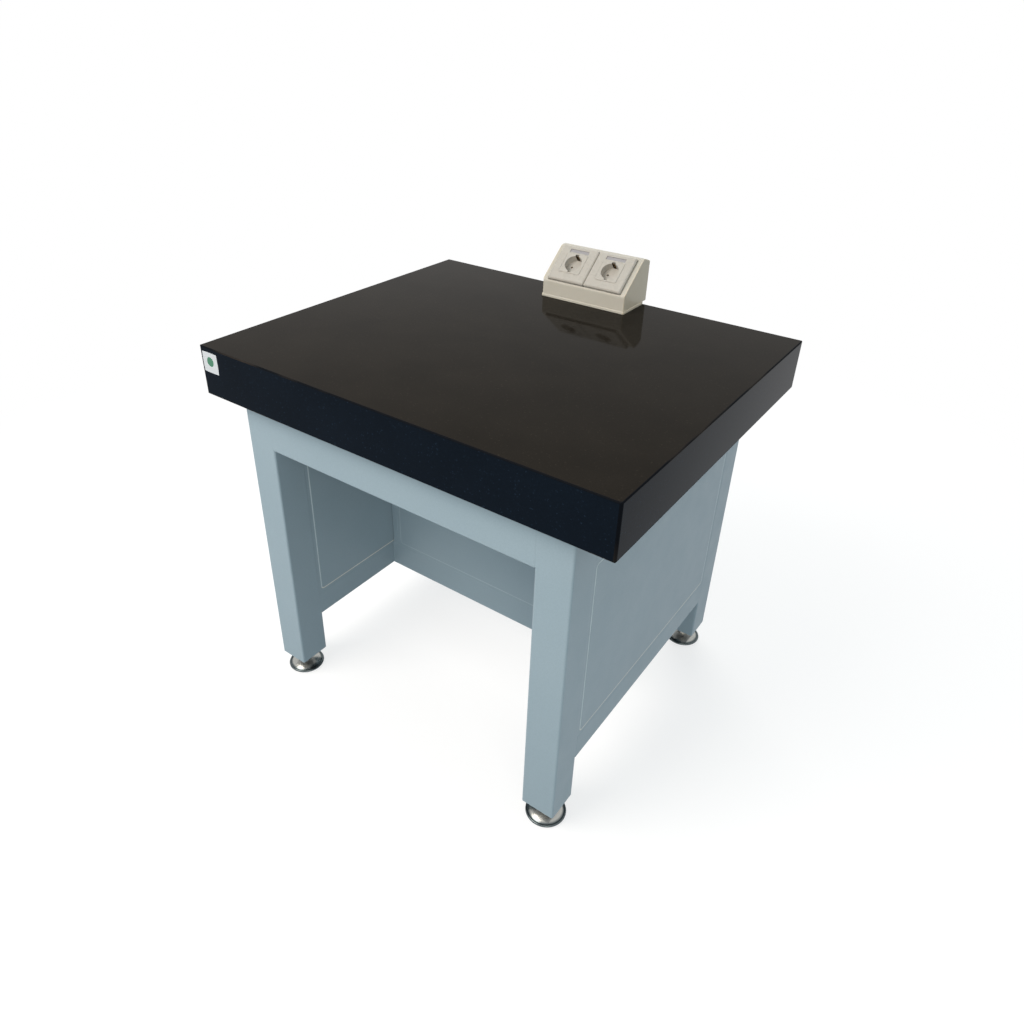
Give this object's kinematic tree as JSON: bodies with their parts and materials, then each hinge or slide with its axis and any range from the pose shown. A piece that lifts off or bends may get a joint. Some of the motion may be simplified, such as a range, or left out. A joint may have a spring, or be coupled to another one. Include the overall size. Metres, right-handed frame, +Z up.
{
  "type": "weighing balance table",
  "caption": "Anti-vibration weighing table: thick polished stone slab on a welded tube frame with flush side and middle panels, screw feet and a sloping socket box.",
  "frame": {"origin": "on the floor, under the middle of the whole outline; the slab's middle is 9 mm nearer the user", "axes": "+X to the right as the user stands in front, the user is at -Y, +Z up"},
  "size_m": [0.9, 0.768, 0.8913],
  "materials": {
    "stone": "polished",
    "blue_paint": "satin",
    "bead": "satin",
    "black_rubber": "matte",
    "nickel": "polished",
    "zinc_steel": "satin",
    "brass": "satin",
    "box_plastic": "satin",
    "cover_plastic": "satin",
    "plug_plastic": "matte",
    "label_card": "matte",
    "label_window": "polished"
  },
  "bodies": {
    "table": {"granite_slab": "stone", "front_left_leg": "blue_paint", "front_right_leg": "blue_paint", "rear_left_leg": "blue_paint", "rear_right_leg": "blue_paint", "front_apron": "blue_paint", "rear_apron": "blue_paint", "left_top_rail": "blue_paint", "right_top_rail": "blue_paint", "left_low_rail": "blue_paint", "right_low_rail": "blue_paint", "middle_top_rail": "blue_paint", "middle_low_rail": "blue_paint", "middle_uprights": "blue_paint", "left_stop_frame": "blue_paint", "right_stop_frame": "blue_paint", "middle_stop_frame": "blue_paint", "left_outer_panel": "blue_paint", "left_inner_panel": "blue_paint", "right_outer_panel": "blue_paint", "right_inner_panel": "blue_paint", "middle_front_panel": "blue_paint", "middle_rear_panel": "blue_paint", "left_beads": "bead", "right_beads": "bead", "middle_beads": "bead", "leg_top_plates": "blue_paint", "leg_foot_plates": "zinc_steel", "damping_pads": "black_rubber", "lock_nuts": "zinc_steel", "box_base": "box_plastic", "box_housing": "box_plastic", "left_cover_plate": "cover_plastic", "right_cover_plate": "cover_plastic", "left_socket_insert": "cover_plastic", "right_socket_insert": "cover_plastic", "socket_carriers": "zinc_steel", "contact_tubes": "brass", "earth_clips": "brass", "label_cards": "label_card", "label_windows": "label_window", "base_screws": "zinc_steel", "wall_plugs": "plug_plastic", "cable_grommet": "black_rubber"},
    "front_left_foot": {"front_left_foot_disc": "nickel", "front_left_foot_sole": "black_rubber"},
    "front_left_stud": {"front_left_foot_stud": "zinc_steel"},
    "front_right_foot": {"front_right_foot_disc": "nickel", "front_right_foot_sole": "black_rubber"},
    "front_right_stud": {"front_right_foot_stud": "zinc_steel"},
    "rear_left_foot": {"rear_left_foot_disc": "nickel", "rear_left_foot_sole": "black_rubber"},
    "rear_left_stud": {"rear_left_foot_stud": "zinc_steel"},
    "rear_right_foot": {"rear_right_foot_disc": "nickel", "rear_right_foot_sole": "black_rubber"},
    "rear_right_stud": {"rear_right_foot_stud": "zinc_steel"}
  },
  "joints": [
    {"name": "front_left_foot_lift", "type": "slide", "parent": "table", "child": "front_left_foot", "axis": [0, 0, -1], "range_m": [-0.006, 0.024]},
    {"name": "front_left_stud_turn", "type": "hinge", "parent": "front_left_foot", "child": "front_left_stud", "pos_m": [-0.338, -0.323, 0.03], "axis": [0, 0, -1], "range_deg": [-1081, 4321]},
    {"name": "front_right_foot_lift", "type": "slide", "parent": "table", "child": "front_right_foot", "axis": [0, 0, -1], "range_m": [-0.006, 0.024]},
    {"name": "front_right_stud_turn", "type": "hinge", "parent": "front_right_foot", "child": "front_right_stud", "pos_m": [0.338, -0.323, 0.03], "axis": [0, 0, -1], "range_deg": [-1081, 4321]},
    {"name": "rear_left_foot_lift", "type": "slide", "parent": "table", "child": "rear_left_foot", "axis": [0, 0, -1], "range_m": [-0.006, 0.024]},
    {"name": "rear_left_stud_turn", "type": "hinge", "parent": "rear_left_foot", "child": "rear_left_stud", "pos_m": [-0.338, 0.305, 0.03], "axis": [0, 0, -1], "range_deg": [-1081, 4321]},
    {"name": "rear_right_foot_lift", "type": "slide", "parent": "table", "child": "rear_right_foot", "axis": [0, 0, -1], "range_m": [-0.006, 0.024]},
    {"name": "rear_right_stud_turn", "type": "hinge", "parent": "rear_right_foot", "child": "rear_right_stud", "pos_m": [0.338, 0.305, 0.03], "axis": [0, 0, -1], "range_deg": [-1081, 4321]}
  ],
  "couplings": [
    {"joint": "front_left_stud_turn", "follows": "front_left_foot_lift", "rad_per_m": 3141.6},
    {"joint": "front_right_stud_turn", "follows": "front_right_foot_lift", "rad_per_m": 3141.6},
    {"joint": "rear_left_stud_turn", "follows": "rear_left_foot_lift", "rad_per_m": 3141.6},
    {"joint": "rear_right_stud_turn", "follows": "rear_right_foot_lift", "rad_per_m": 3141.6}
  ]
}
